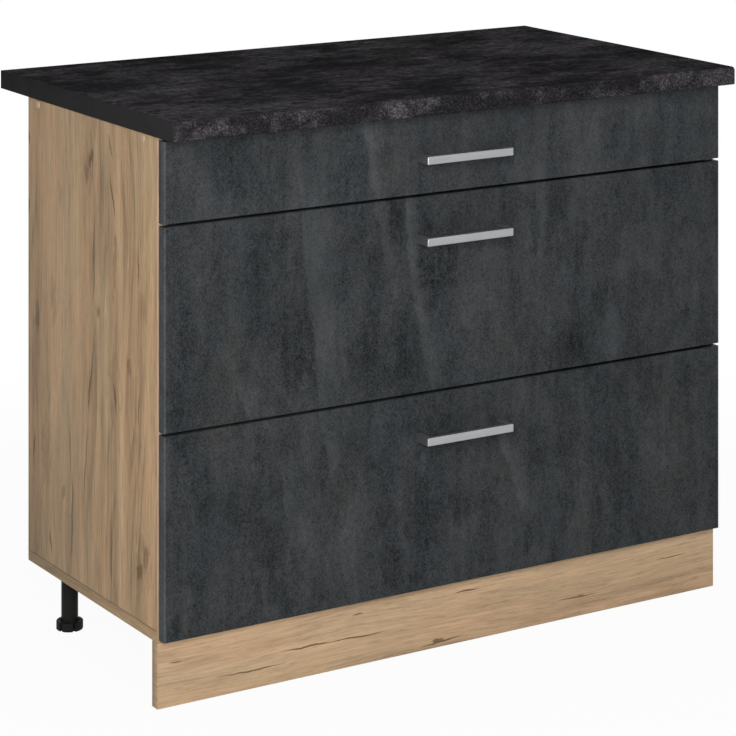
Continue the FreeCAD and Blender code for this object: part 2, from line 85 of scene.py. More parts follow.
class Finish:
    def __init__(self, name, blocks="materials"):
        self.block = getattr(bpy.data, blocks).new(name)
        self.block.use_nodes = True
        self.tree = self.block.node_tree
        self.tree.nodes.clear()
        self.place = self.add("ShaderNodeTexCoord", {}, {}, "Object")

    def add(self, kind, settings, sockets, output=0):
        # one node: its settings, then the values or links of its sockets
        node = self.tree.nodes.new(kind)
        for name, value in settings.items():
            if name == "stops":
                self.setStops(node.color_ramp, value)
            else:
                setattr(node, name, value)
        for name, value in sockets.items():
            if isinstance(value, Signal):
                self.tree.links.new(value.socket, node.inputs[name])
            else:
                node.inputs[name].default_value = value
        return Signal(self, node.outputs[output]) if len(node.outputs) else None

    def setStops(self, ramp, stops):
        while len(ramp.elements) < len(stops):
            ramp.elements.new(0.5)
        for element, (position, colour) in zip(ramp.elements, stops):
            element.position = position
            element.color = (*colour, 1)

    def axis(self, name, place=None):
        return self.add("ShaderNodeSeparateXYZ", {}, {0: place or self.place}, name)

    def stretch(self, x, y, z, shift=(0, 0, 0), place=None):
        sockets = {"Vector": place or self.place, "Location": shift, "Scale": (x, y, z)}
        return self.add("ShaderNodeMapping", {}, sockets)

    def noise(self, place, detail=3.0, rough=0.5, distort=0.0, output=0):
        sockets = {"Vector": place, "Scale": 1.0, "Detail": detail, "Roughness": rough,
                   "Distortion": distort}
        return self.add("ShaderNodeTexNoise", {}, sockets, output)

    def pattern(self, scale, shift=(0, 0, 0), detail=3.0, rough=0.5, distort=0.0):
        return self.noise(self.stretch(*scale, shift), detail, rough, distort)

    def cells(self, scale):
        # one random number for each cell
        sockets = {"Vector": self.stretch(*scale), "Scale": 1.0}
        return self.axis("X", self.add("ShaderNodeTexVoronoi", {}, sockets, "Color"))

    def rise(self, value, low, high):
        # 0 below low, 1 above high, smooth between
        sockets = {"Value": value, "From Min": low, "From Max": high}
        return self.add("ShaderNodeMapRange", {"interpolation_type": "SMOOTHSTEP"}, sockets)

    def wave(self, kind, value):
        return self.add("ShaderNodeMath", {"operation": kind}, {0: value})

    def size(self, value):
        return self.wave("ABSOLUTE", value)

    def most(self, first, second):
        return self.add("ShaderNodeMath", {"operation": "MAXIMUM"}, {0: first, 1: second})

    def mix(self, share, first, second):
        first, second = [c if isinstance(c, Signal) else (*c, 1) for c in (first, second)]
        settings = {"data_type": "RGBA", "clamp_factor": True}
        return self.add("ShaderNodeMix", settings, {0: share, 6: first, 7: second}, 2)

    def vector(self, kind, first, second):
        return self.add("ShaderNodeVectorMath", {"operation": kind}, {0: first, 1: second})

    def shade(self, colour, amount):
        sockets = {0: colour, "Scale": amount}
        return self.add("ShaderNodeVectorMath", {"operation": "SCALE"}, sockets)

    def ramp(self, value, stops):
        return self.add("ShaderNodeValToRGB", {"stops": stops}, {0: value})

    def bump(self, height, depth, strength=1.0):
        sockets = {"Height": height, "Distance": depth, "Strength": strength}
        return self.add("ShaderNodeBump", {}, sockets)

    def done(self, colour, roughness, normal, specular=0.5, metallic=0.0):
        sockets = {"Base Color": colour, "Roughness": roughness, "Normal": normal,
                   "Specular IOR Level": specular, "Metallic": metallic}
        surface = self.add("ShaderNodeBsdfPrincipled", {}, sockets)
        self.add("ShaderNodeOutputMaterial", {}, {"Surface": surface})
        return self.block


# oak-look boards
plinthLook = {
    "warm": (0.445, 0.300, 0.184),
    "olive": (0.412, 0.292, 0.180),
    "dark": (0.085, 0.052, 0.028),    # cracks and knots
    "bands": 0.32,                    # broad light and dark bands
    "streaks": 0.52,                  # narrow streaks
    "rings": 0.09,                    # growth rings, as contour lines of a slow field
    "ringCount": 60.0,
    "lines": 0.12,                    # single darker lines
    "fibres": 0.80,                   # fine fibres
    "pores": 0.18,                    # short dark dashes
    "lift": 0.0,                      # lighter towards the top
    "roughness": 0.55,
    "relief": 0.00012,
    "specular": 0.12,
}
sideLook = dict(plinthLook)
sideLook.update({
    "warm": (0.452, 0.303, 0.180), "olive": (0.414, 0.294, 0.178), "dark": (0.075, 0.048, 0.025),
    "bands": 0.67, "streaks": 0.78, "rings": 0.15, "ringCount": 105.0, "lines": 0.17,
    "lift": 0.08, "specular": 0.06,
})
bandLook = dict(plinthLook)
bandLook.update({"warm": (0.445, 0.312, 0.205), "olive": (0.430, 0.310, 0.205), "specular": 0.3})

# scale across and along the grain, then how far the pattern moves with the board's seed
grainScales = {
    "sway": (3.0, 1.6, 1.0), "bands": (16, 1.3, 1.0), "streaks": (62, 3.2, 1.3),
    "fibres": (340, 13, 1.7), "hue": (18, 1.8, 2.1), "lines": (95, 1.7, 2.7),
    "pores": (560, 38, 2.5), "field": (6.5, 0.8, 0.6), "wobble": (22, 20, 0.7),
    "ragged": (130, 42, 0.9), "drift": (9, 2.5, 1.1),
}
seedStep = (3.1, 5.7, 1.9)
swayReach = 0.05          # metres that the grain wanders
jointShadeLook = {"half": 0.0018, "depth": 0.34}      # painted shade in the groove of the joint line over the bottom panel


def crack(f, u, v, wobble, start, end, width):
    # a dark line along the grain, thin at both ends; u runs along the grain and v across it
    (u0, v0), (u1, v1) = start, end
    share = (u - u0) * (1 / (u1 - u0))
    slope = (v1 - v0) / (u1 - u0)
    off = f.size(v - v0 - (u - u0) * slope - (wobble - 0.5) * (6 * width))
    taper = f.most(share * (1 - share) * 4, 0.0)
    return f.rise(taper * width - off, -0.2 * width, 0.5 * width)


def smudge(f, u, v, wobble, centre, radii):
    # a soft stain with a ragged outline
    du = (u - centre[0]) * (1 / radii[0])
    dv = (v - centre[1]) * (1 / radii[1])
    return 1 - f.rise(du * du + dv * dv + (wobble - 0.5) * 5.0, 0.1, 0.9)


def stripe(f, v, centre, half):
    # a soft band along the grain
    return 1 - f.rise(f.size(v - centre), 0.0, half)


def turnEnds(f, halfLength):
    # on a board's ends the grain runs along Y: X and Y change places there
    x, y, z = f.axis("X"), f.axis("Y"), f.axis("Z")
    end = f.rise(f.size(x), halfLength - 0.0004, halfLength - 0.0002)
    sockets = {0: x + (y - x) * end, 1: y + (x - y) * end, 2: z}
    f.place = f.add("ShaderNodeCombineXYZ", {}, sockets)
    return end


def markMask(f, u, v, streaks, cracks, knots, grained):
    # cracks and knots together, or None where the board has none
    wobble = f.noise(grained("wobble"), 3.0, 0.6)
    ragged = f.noise(grained("ragged"), 4.0, 0.7)
    marks = [crack(f, u, v, wobble, *place) for place in cracks]
    for centre, radii, depth in knots:
        marks.append(smudge(f, u, v, ragged, centre, radii) * ((streaks - 0.5) * 2.0 + depth))
    mask = marks[0] if marks else None
    for mark in marks[1:]:
        mask = f.most(mask, mark)
    return mask


def oak(name, grain, seed, look, across="Y", tone=1.0, cracks=(), knots=(), stripes=(), deep=0.7,
        ends=None, jointShade=None):
    f = Finish(name)
    upward = f.axis("Z")
    end = turnEnds(f, ends["half"]) if ends else None

    def grained(pattern, place=None):
        acrossScale, alongScale, turn = grainScales[pattern]
        x, z = (alongScale, acrossScale) if grain == "X" else (acrossScale, alongScale)
        shift = tuple(seed * step * turn for step in seedStep)
        return f.stretch(x, acrossScale, z, shift, place)

    sway = f.noise(grained("sway"), 2.0, output="Color")
    sway = f.shade(f.vector("SUBTRACT", sway, (0.5, 0.5, 0.5)), swayReach)
    bent = f.vector("ADD", f.place, sway)
    bands = f.noise(grained("bands", bent), 2.0, 0.5)
    streaks = f.noise(grained("streaks", bent), 4.0, 0.62)
    fibres = f.noise(grained("fibres", bent), 3.0, 0.65)
    hue = f.noise(grained("hue", bent), 3.0, 0.6)
    lines = f.rise(f.noise(grained("lines", bent), 3.0, 0.6), 0.56, 0.66)
    pores = f.rise(f.noise(grained("pores", bent), 2.0, 0.6), 0.56, 0.66)
    field = f.noise(grained("field", bent), 2.5, 0.5)
    rings = f.rise(f.wave("SINE", field * look["ringCount"]), 0.1, 1.0) * f.rise(bands, 0.62, 0.40)
    level = (bands - 0.5) * look["bands"] + (streaks - 0.5) * look["streaks"]
    level = level + (fibres - 0.5) * look["fibres"] + 1.04
    level = level - lines * look["lines"] - pores * look["pores"] - rings * look["rings"]

    u, v = f.axis(grain), f.axis(across)
    wandering = v + (f.noise(grained("drift"), 4.0, 0.6) - 0.5) * swayReach
    for centre, half, strength in stripes:
        level = level + stripe(f, wandering, centre, half) * strength
    if look["lift"]:
        level = level + (f.rise(upward, 0.1, 0.8) - 0.5) * look["lift"]
    if ends:
        level = level * (end * (ends["tone"] - 1) + 1)
    # painted shade along the joint groove over the bottom panel
    if jointShade:
        level = level - stripe(f, upward, jointShade, jointShadeLook["half"]) * jointShadeLook["depth"]
    colour = f.mix(f.rise(hue, 0.40, 0.60), look["warm"], look["olive"])
    colour = f.shade(colour, level * tone)
    marks = markMask(f, u, v, streaks, cracks, knots, grained)
    if marks is not None:
        if ends and not ends["marked"]:
            marks = marks * (1 - end)
        colour = f.mix(marks * deep, colour, look["dark"])
    height = fibres * 0.6 + streaks * 0.4 - pores * 0.5
    roughness = (fibres - 0.5) * 0.2 + look["roughness"]
    return f.done(colour, roughness, f.bump(height, look["relief"], 0.6), specular=look["specular"])


# dark concrete-look film of the drawer fronts
filmLook = {
    "brown": (0.0378, 0.0384, 0.0392),      # wiped places, two hues
    "blue": (0.0334, 0.0381, 0.0408),
    "gritty": (0.0285, 0.0330, 0.0362),     # rough places, a little blue-green
    "pale": (0.0680, 0.0730, 0.0760),       # edges of wiped strokes
    "edge": (0.0950, 0.1020, 0.1080),       # a painted highlight along the panel's ends, where their rounded edges would catch the light
    "wipes": 1.1, "clouds": 1.0, "smears": 0.6, "flakes": 0.17,
    "grit": 1.4, "speckle": 3.8, "fine": 2.9,
    "strokes": 0.34,
    "topFront": 0.17, "level": 0.935,       # the top front is a little lighter than the others
    "roughness": 0.50,
    "relief": 0.00010,
}

# scale, shift, detail, roughness, distortion
filmPatterns = {
    "columns": ((10, 10, 1.3), (3.1, 0, 7.7), 3.0, 0.5, 0.2),
    "clouds": ((8.5, 8.5, 6.5), (6.6, 0, 2.9), 5.0, 0.62, 0.5),
    "wipes": ((30, 30, 4.0), (9.4, 0, 1.2), 5.0, 0.64, 0.4),
    "smears": ((52, 52, 20), (2.6, 0, 5.5), 5.0, 0.66, 0.8),
    "flakes": ((17, 17, 11), (8.4, 0, 1.9), 9.0, 0.70, 0.4),
    "grit": ((120, 120, 90), (1.7, 0, 4.4), 3.0, 0.7),
    "speck": ((430, 430, 380), (0, 0, 0), 3.0, 0.8),
    "ragged": ((34, 34, 30), (2.2, 0, 8.1), 6.0, 0.72),
    "drift": ((4, 4, 2.0), (7.3, 0, 3.8), 4.0, 0.6),
    "here": ((9, 9, 4.5), (4.9, 0, 6.1), 3.0, 0.6),
}

# wiped marks, pale to the right of a ragged edge: (x, z) at its top and bottom, width, strength
wipedMarks = (
    ((-0.278, 0.700), (-0.2420, 0.400), 0.065, 0.9),
    ((-0.242, 0.388), (-0.2300, 0.300), 0.032, 0.6),
    ((-0.168, 0.800), (-0.1320, 0.590), 0.026, 0.8),
    ((-0.096, 0.690), (-0.0880, 0.560), 0.024, 1.0),
    ((-0.088, 0.560), (-0.0540, 0.410), 0.036, 0.7),
    ((-0.385, 0.455), (-0.3650, 0.400), 0.040, 0.5),
    ((-0.312, 0.320), (-0.2920, 0.200), 0.050, 0.7),
    ((0.352, 0.640), (0.3600, 0.520), 0.034, 0.4),
    ((0.075, 0.305), (0.1150, 0.190), 0.032, 0.7),
    ((0.250, 0.255), (0.2660, 0.165), 0.022, 0.5),
    ((-0.205, 0.190), (-0.1980, 0.110), 0.040, 0.5),
    ((0.018, 0.690), (0.0300, 0.640), 0.030, 0.3),
)
# lighter and darker places: centre, half sizes, strength
shadePatches = (
    ((0.282, 0.438), (0.026, 0.034), 0.34),
    ((0.260, 0.530), (0.050, 0.022), 0.16),
    ((-0.003, 0.532), (0.060, 0.014), 0.14),
    ((-0.150, 0.350), (0.018, 0.045), 0.22),
    ((-0.045, 0.570), (0.036, 0.042), -0.22),
    ((0.085, 0.540), (0.030, 0.105), -0.14),
    ((-0.110, 0.660), (0.014, 0.032), -0.28),
    ((0.205, 0.435), (0.042, 0.032), -0.24),
    ((-0.140, 0.455), (0.042, 0.050), -0.20),
    ((-0.290, 0.500), (0.038, 0.085), -0.20),
    ((-0.345, 0.205), (0.028, 0.075), -0.18),
    ((-0.115, 0.145), (0.018, 0.038), -0.24),
    ((0.370, 0.345), (0.036, 0.042), -0.16),
    ((0.005, 0.215), (0.022, 0.028), -0.20),
    ((0.315, 0.240), (0.020, 0.016), -0.16),
    ((0.060, 0.300), (0.012, 0.070), -0.16),
)


def wipedEdges(f, x, z, ragged, pale):
    # the placed wiped marks laid over the loose strokes
    for (x0, z0), (x1, z1), width, strength in wipedMarks:
        down = (z0 - z) * (1 / (z0 - z1))
        off = x - x0 - down * (x1 - x0) - (ragged - 0.5) * 0.036
        span = f.rise(down, -0.25, 0.15) * (1 - f.rise(down, 0.8, 1.2))
        side = f.rise(off, -0.002, 0.003) * (1 - f.rise(off, width * 0.25, width))
        pale = f.most(pale, span * side * strength)
    return pale


def shaded(f, x, z, ragged, level):
    # the placed lighter and darker patches
    for (x0, z0), (halfWide, halfTall), strength in shadePatches:
        across, up = (x - x0) * (1 / halfWide), (z - z0) * (1 / halfTall)
        near = 1 - f.rise(across * across + up * up + (ragged - 0.5) * 4.0, 0.0, 2.0)
        level = level + near * strength
    return level


def film(look=filmLook):
    f = Finish("concrete film")
    x, z = f.axis("X"), f.axis("Z")
    made = {name: f.pattern(*pattern) for name, pattern in filmPatterns.items()}
    columns, clouds, wipes, smears = [made[n] for n in ("columns", "clouds", "wipes", "smears")]
    grit, speck, ragged = made["grit"], made["speck"], made["ragged"]
    flakes = f.rise(made["flakes"], 0.475, 0.525)
    rough = f.rise(columns * 0.35 + clouds * 0.40 + smears * 0.25, 0.44, 0.60)

    # strokes: sharp on one side, fading on the other, some places only
    saw = f.wave("FRACT", x * 9.0 + (made["drift"] - 0.5) * 5.0 + (ragged - 0.5) * 0.5)
    here = f.rise(made["here"], 0.46, 0.62)
    stroke = f.rise(saw, 0.0, 0.05) * (1 - f.rise(saw, 0.08, 0.75)) * here
    pale = wipedEdges(f, x, z, ragged, stroke * look["strokes"])

    level = (wipes - 0.5) * look["wipes"] + (clouds - 0.5) * look["clouds"]
    level = shaded(f, x, z, ragged, level + (smears - 0.5) * look["smears"])
    level = level + (flakes - 0.5) * look["flakes"] + look["level"]
    level = level + f.rise(z, topFront[0][2] - 0.002, topFront[0][2]) * look["topFront"]
    fine = (speck - 0.5) * look["fine"] + (grit - 0.5) * 0.7
    warmth = f.rise(clouds * 0.4 + wipes * 0.3 + ragged * 0.3, 0.44, 0.56)
    smooth = f.shade(f.mix(warmth, look["blue"], look["brown"]), level + fine)
    coarse = (grit - 0.5) * look["grit"] + (speck - 0.5) * look["speckle"]
    gritty = f.shade(look["gritty"], level + coarse)
    colour = f.mix(rough - pale * 0.6 - warmth * 0.3, smooth, gritty)
    colour = f.mix(pale * 0.62, colour, f.shade(look["pale"], (fine + level) * 0.5 + 0.5))

    # the end faces made lighter, and a painted highlight line beside them where the rounded edges
    # would catch the light
    halfLength = topFront[1][0]
    endFace = f.rise(f.size(x), halfLength - 0.0006, halfLength - 0.0001)
    colour = f.shade(colour, endFace * 0.45 + 1.0)
    face = topFront[0][1]
    edgeHighlight = f.rise(f.size(x), halfLength - 0.0034, halfLength - 0.0014)
    edgeHighlight = edgeHighlight * (1 - f.rise(f.axis("Y"), face + 0.0004, face + 0.0016))
    colour = f.mix(edgeHighlight * 0.55, colour, f.shade(look["edge"], grit * 1.6 + 0.2))
    roughness = (wipes - 0.5) * 0.3 + (speck - 0.5) * 0.2 + look["roughness"]
    height = speck * 0.5 + grit * 0.5
    return f.done(colour, roughness, f.bump(height, look["relief"], 0.4), specular=0.07)


# worktop
laminateLook = {
    "base": (0.0158, 0.0152, 0.0164),
    "plum": (0.0790, 0.0670, 0.0785),
    "slate": (0.0640, 0.0650, 0.0675),
    "noseBase": (0.0210, 0.0203, 0.0218),     # ground of the front edge
    "fleck": (0.1700, 0.1600, 0.1720),
    "under": (0.0600, 0.0480, 0.0380),        # raw underside
    "chips": ((0.0, (0.20, 0.125, 0.065)), (0.45, (0.39, 0.275, 0.165)), (1.0, (0.56, 0.43, 0.29))),
    "chipScale": (520, 420, 780),
    "roughness": 0.55,
    "relief": 0.00008,
}

# scale, shift, detail, roughness, distortion
laminatePatterns = {
    "patches": ((5.5, 8.0, 8.0), (5.3, 1.1, 0), 4.0, 0.6),
    "streaks": ((18, 34, 34), (0.4, 7.9, 0), 6.0, 0.72, 0.6),
    "hue": ((9, 15, 15), (8.8, 2.2, 0), 4.0, 0.65),
    "mottle": ((80, 110, 110), (1.2, 6.4, 0), 4.0, 0.7),
    "speck": ((230, 330, 330), (0, 0, 0), 3.0, 0.75),
    "flecks": ((290, 290, 290), (0, 0, 0), 4.0, 0.78),
    "clusters": ((26, 30, 30), (3.3, 0, 9.9), 4.0, 0.65),
}


def laminate(look=laminateLook):
    f = Finish("worktop laminate")
    (_, frontY, underZ), (_, rearY, _) = worktop
    made = {name: f.pattern(*pattern) for name, pattern in laminatePatterns.items()}
    patches, streaks, mottle, speck = [made[n] for n in ("patches", "streaks", "mottle", "speck")]
    plum = f.rise(made["hue"], 0.42, 0.58)
    pale = f.rise(patches * 0.50 + streaks * 0.50, 0.40, 0.66)
    tint = f.mix(plum, look["slate"], look["plum"])
    colour = f.mix(pale, look["base"], f.shade(tint, (mottle - 0.5) * 2.2 + 0.86))
    colour = f.shade(colour, (mottle - 0.5) * 1.2 + 1.0)

    # the front edge: the same pattern seen face on, with light flecks in clusters
    front = 1 - f.rise(f.axis("Y"), frontY + 0.0006, frontY + 0.0060)
    cluster = f.rise(patches * 0.5 + made["clusters"] * 0.5, 0.42, 0.60)
    share = f.rise(made["flecks"], 0.43, 0.68) * (cluster * 0.82 + 0.18)
    fleck = f.mix(plum, look["fleck"], f.shade(look["plum"], 1.7))
    nose = f.mix(share, f.shade(look["noseBase"], cluster * 1.1 + 0.60), fleck)
    colour = f.shade(f.mix(front, colour, nose), (speck - 0.5) * 2.2 + 1.0)
    under = 1 - f.rise(f.axis("Z"), underZ + 0.0002, underZ + 0.0006)
    colour = f.mix(under, colour, look["under"])
    sawn = f.rise(f.axis("Y"), rearY - 0.0004, rearY - 0.0001)
    colour = f.mix(sawn, colour, f.ramp(f.cells(look["chipScale"]), look["chips"]))
    roughness = pale * -0.10 + (speck - 0.5) * 0.2 + look["roughness"]
    height = speck * 0.4 + streaks * 0.6
    return f.done(colour, roughness, f.bump(height, look["relief"], 0.4), specular=0.0)


# screw caps: a pale crescent on the dome's front side is a painted highlight
capColours = {
    "face": (0.405, 0.278, 0.168),
    "crescentHighlight": (0.600, 0.440, 0.310),
    "from": 0.0020, "to": 0.0048,       # metres in front of the cap's middle
    "roughness": 0.42,
}


def capFinish(look=capColours):
    f = Finish("oak screw cap")
    frontY, rearY = [middle(rail).y for rail in topRails]
    rear = f.rise(f.axis("Y"), -0.001, 0.001)
    off = f.axis("Y") - rear * (rearY - frontY) - frontY
    # painted highlight: a pale crescent in front of the cap's middle
    crescentHighlight = f.rise(off * -1.0, look["from"], look["to"])
    fine = f.pattern((700, 700, 90), detail=3.0, rough=0.6)
    colour = f.mix(crescentHighlight, look["face"], look["crescentHighlight"])
    colour = f.shade(colour, (fine - 0.5) * 0.4 + 1.0)
    roughness = (fine - 0.5) * 0.2 + look["roughness"]
    return f.done(colour, roughness, f.bump(fine, 0.00004, 0.5), specular=0.3)


# plain finishes, each with a fine surface of its own
def moulded(name, colour, roughness, specular=0.4, scale=900):
    # plastic: fine texture and faint cloudiness
    f = Finish(name)
    fine = f.pattern((scale, scale, scale), detail=2.0, rough=0.6)
    broad = f.pattern((35, 35, 35), detail=3.0, rough=0.6)
    shades = f.shade(colour, (broad - 0.5) * 0.35 + 1.0)
    roughness = (broad - 0.5) * 0.2 + (fine - 0.5) * 0.1 + roughness
    return f.done(shades, roughness, f.bump(fine, 0.00006, 0.6), specular=specular)


def brushed(name, colour, roughness):
    # metal brushed along its length
    f = Finish(name)
    lines = f.pattern((18, 1500, 1500), detail=4.0, rough=0.7)
    broad = f.pattern((40, 60, 60), detail=2.0, rough=0.5)
    shades = f.shade(colour, (lines - 0.5) * 0.35 + (broad - 0.5) * 0.12 + 1.0)
    roughness = (lines - 0.5) * 0.22 + roughness
    return f.done(shades, roughness, f.bump(lines, 0.00003, 0.5), metallic=0.90)


def zinc(name, colour, roughness):
    # galvanised sheet: faint crystals and rolling marks
    f = Finish(name)
    crystals = f.cells((140, 140, 140))
    fine = f.pattern((700, 30, 700), detail=3.0, rough=0.6)
    shades = f.shade(colour, (crystals - 0.5) * 0.16 + (fine - 0.5) * 0.14 + 1.0)
    roughness = (crystals - 0.5) * 0.12 + (fine - 0.5) * 0.12 + roughness
    return f.done(shades, roughness, f.bump(fine, 0.00003, 0.5), metallic=0.9)


def powderCoat(name, colour):
    # the orange peel of sprayed steel
    f = Finish(name)
    peel = f.pattern((450, 450, 450), detail=1.0, rough=0.4)
    broad = f.pattern((12, 12, 12), detail=3.0, rough=0.5)
    shades = f.shade(colour, (broad - 0.5) * 0.08 + 1.0)
    return f.done(shades, (peel - 0.5) * 0.12 + 0.38, f.bump(peel, 0.00005, 0.5), specular=0.4)


def melamine(name, colour):
    # pale faced board with a faint pearl grain
    f = Finish(name)
    grain = f.pattern((60, 9, 300), detail=4.0, rough=0.6)
    fine = f.pattern((1200, 1200, 1200), detail=2.0, rough=0.5)
    shades = f.shade(colour, (grain - 0.5) * 0.10 + (fine - 0.5) * 0.05 + 1.0)
    return f.done(shades, (fine - 0.5) * 0.12 + 0.46, f.bump(fine, 0.00004, 0.5), specular=0.3)


hardboardLook = {
    "raw": ((0.30, (0.150, 0.092, 0.050)), (0.55, (0.265, 0.175, 0.100)),
            (0.75, (0.370, 0.262, 0.160))),
    "white": (0.72, 0.72, 0.70),
}


def hardboard(name, look=hardboardLook):
    # brown pressed fibre outside, white lacquer towards the drawers
    f = Finish(name)
    fibre = f.pattern((260, 260, 190), (4, 0, 2), 6.0, 0.75, 1.2)
    blotch = f.pattern((5, 5, 5), detail=3.0, rough=0.6)
    raw = f.ramp(fibre * 0.75 + blotch * 0.25, look["raw"])
    inner = backPanel[0][1]
    inside = 1 - f.rise(f.axis("Y"), inner + 0.0001, inner + 0.0003)
    white = f.shade(look["white"], (fibre - 0.5) * 0.06 + 1.0)
    colour = f.mix(inside, raw, white)
    return f.done(colour, inside * -0.35 + 0.82, f.bump(fibre, 0.00012, 0.5), specular=0.25)


print("finishes")

# marks of the left side, after the photograph: start and end as (z, y), width
sideCracks = (
    ((0.795, -0.082), (0.755, -0.096), 0.0024),
    ((0.735, -0.090), (0.668, -0.107), 0.0030),
    ((0.660, -0.037), (0.520, -0.034), 0.0018),
    ((0.470, -0.032), (0.365, -0.016), 0.0030),
    ((0.375, -0.017), (0.215, 0.001), 0.0018),
    ((0.280, 0.037), (0.112, 0.041), 0.0034),
    ((0.345, 0.047), (0.260, 0.042), 0.0018),
    ((0.235, -0.093), (0.130, -0.093), 0.0022),
    ((0.650, -0.180), (0.585, -0.176), 0.0024),
    ((0.440, -0.182), (0.385, -0.180), 0.0022),
    ((0.440, -0.096), (0.385, -0.112), 0.0032),
    ((0.165, 0.117), (0.125, 0.110), 0.0034),
    ((0.300, 0.170), (0.255, 0.172), 0.0030),
    ((0.760, 0.1885), (0.735, 0.1880), 0.0040),
    ((0.655, 0.1890), (0.630, 0.1885), 0.0040),
)
# centre as (z, y), radii, depth
sideKnots = (
    ((0.744, -0.026), (0.020, 0.010), 0.95),
    ((0.724, -0.009), (0.018, 0.011), 0.80),
    ((0.735, -0.018), (0.045, 0.026), 0.35),
    ((0.206, -0.203), (0.022, 0.011), 0.80),
    ((0.184, -0.183), (0.020, 0.010), 0.95),
    ((0.196, -0.193), (0.050, 0.026), 0.35),
    ((0.480, 0.158), (0.026, 0.008), 0.75),
    ((0.526, -0.052), (0.010, 0.007), 0.85),
    ((0.465, -0.150), (0.018, 0.008), 0.55),
    ((0.682, 0.079), (0.022, 0.012), 0.35),
    ((0.517, 0.102), (0.050, 0.012), 0.45),
    ((0.229, 0.068), (0.012, 0.007), 0.55),
    ((0.275, 0.130), (0.070, 0.020), 0.35),
    ((0.600, -0.105), (0.060, 0.012), 0.45),
    ((0.420, -0.105), (0.060, 0.022), 0.30),
)
# middle, half width, strength of light and dark bands
sideStripes = (
    (0.150, 0.055, -0.13), (0.070, 0.026, 0.10), (0.044, 0.014, -0.06), (-0.052, 0.028, 0.08),
    (-0.097, 0.028, -0.20), (-0.150, 0.030, -0.06), (-0.184, 0.018, -0.09), (-0.208, 0.045, -0.07),
    (-0.238, 0.014, -0.12),
)
plinthCracks = (
    ((-0.412, 0.0265), (-0.285, 0.0270), 0.0013),
    ((-0.300, 0.0452), (-0.205, 0.0440), 0.0016),
    ((-0.230, 0.0442), (-0.112, 0.0412), 0.0012),
    ((-0.062, 0.0070), (0.024, 0.0102), 0.0015),
    ((0.000, 0.0772), (0.052, 0.0768), 0.0013),
    ((-0.482, 0.0632), (-0.458, 0.0628), 0.0010),
    ((-0.178, 0.0757), (-0.156, 0.0755), 0.0012),
    ((0.190, 0.0300), (0.275, 0.0315), 0.0012),
    ((0.380, 0.0620), (0.450, 0.0625), 0.0010),
)
plinthKnots = (
    ((-0.026, 0.0112), (0.013, 0.0036), 0.85),
    ((0.232, 0.0310), (0.012, 0.0032), 0.6),
)
bottomKnots = (((-0.137, 0.103), (0.016, 0.004), 0.8),)       # on its left end: (y, z)
jointLevel = bottomPanel[1][2]
halfBody = bottomPanel[1][0]
materials = {
    "oakLeft": oak("oak side left", "Z", 1.0, sideLook, tone=0.965, cracks=sideCracks,
                   knots=sideKnots, stripes=sideStripes, deep=0.66, jointShade=jointLevel),
    "oakRight": oak("oak side right", "Z", 4.0, sideLook, tone=0.92, cracks=sideCracks[5:9],
                    knots=sideKnots[6:10], deep=0.6, jointShade=jointLevel),
    "oakBoard": oak("oak boards", "X", 2.0, sideLook, tone=0.90),
    "oakBottom": oak("oak bottom board", "X", 8.0, sideLook, tone=0.90, knots=bottomKnots,
                     ends={"half": halfBody, "tone": 0.86, "marked": True}, jointShade=jointLevel),
    "oakBand": oak("oak edge band", "Z", 3.0, bandLook, tone=0.88),
    "oakPlinth": oak("oak plinth", "X", 6.0, plinthLook, across="Z", tone=1.085,
                     cracks=plinthCracks, knots=plinthKnots, deep=0.85,
                     ends={"half": halfBody, "tone": 0.88, "marked": False}),
    "cap": capFinish(),
    "film": film(),
    "laminate": laminate(),
    "strip": moulded("worktop end strip", (0.0310, 0.0305, 0.0315), 0.55, specular=0.0, scale=600),
    "hardboard": hardboard("hardboard"),
    "plastic": moulded("black plastic", (0.0150, 0.0150, 0.0145), 0.48, specular=0.04),
    "nylon": moulded("nylon roller", (0.74, 0.73, 0.68), 0.40),
    "coated": powderCoat("coated steel", (0.50, 0.51, 0.52)),
    "runner": zinc("galvanised runner", (0.60, 0.61, 0.62), 0.36),
    "screw": zinc("zinc screw", (0.66, 0.66, 0.64), 0.28),
    "drawerBoard": melamine("drawer board", (0.66, 0.66, 0.65)),
    "handle": brushed("brushed handle", (0.385, 0.388, 0.397), 0.36),
}

nodeFinish = {
    "side_panel_left": "oakLeft", "side_panel_right": "oakRight", "bottom_panel": "oakBottom",
    "top_rail_front": "oakBoard", "top_rail_rear": "oakBoard", "carcass_edge_bands": "oakBand",
    "back_panel": "hardboard", "screw_caps": "cap", "worktop": "laminate",
    "worktop_end_strip_left": "strip", "worktop_end_strip_right": "strip",
    "carcass_screws": "screw", "plinth": "oakPlinth", "plinth_clips": "plastic",
    "leg_sockets": "plastic", "leg_stems": "plastic",
}
drawerFinish = {
    "runner_left": "runner", "runner_right": "runner", "runner_rollers": "nylon",
    "drawer_rollers": "nylon", "drawer_wall_left": "coated", "drawer_wall_right": "coated",
    "drawer_base": "drawerBoard", "drawer_back": "drawerBoard", "drawer_front": "film",
    "drawer_handle": "handle", "handle_bolts": "screw",
}
for corner in corners:
    nodeFinish["foot_" + corner] = "plastic"
for name in drawers:
    nodeFinish.update({f"{name}_{piece}": finish for piece, finish in drawerFinish.items()})
for name in potDrawers:
    nodeFinish[name + "_gallery_rails"] = "coated"

# eased edges: width by finish in metres; thin sheet and small pieces get less, and the edge
# bands are rounded already
edgeWidths = {
    "oakBand": 0, "oak": 0.0003, "film": 0.0003, "laminate": 0.0003, "strip": 0.0003,
    "hardboard": 0.0002, "plastic": 0.0005, "nylon": 0.0006, "coated": 0.00025,
    "runner": 0.0002, "handle": 0.00015, "drawerBoard": 0.0004, "screw": 0.0002, "cap": 0.0002,
}
easeLook = {"joinWithin": 0.000002, "segments": 2, "sharper": 32}      # metres, steps, degrees


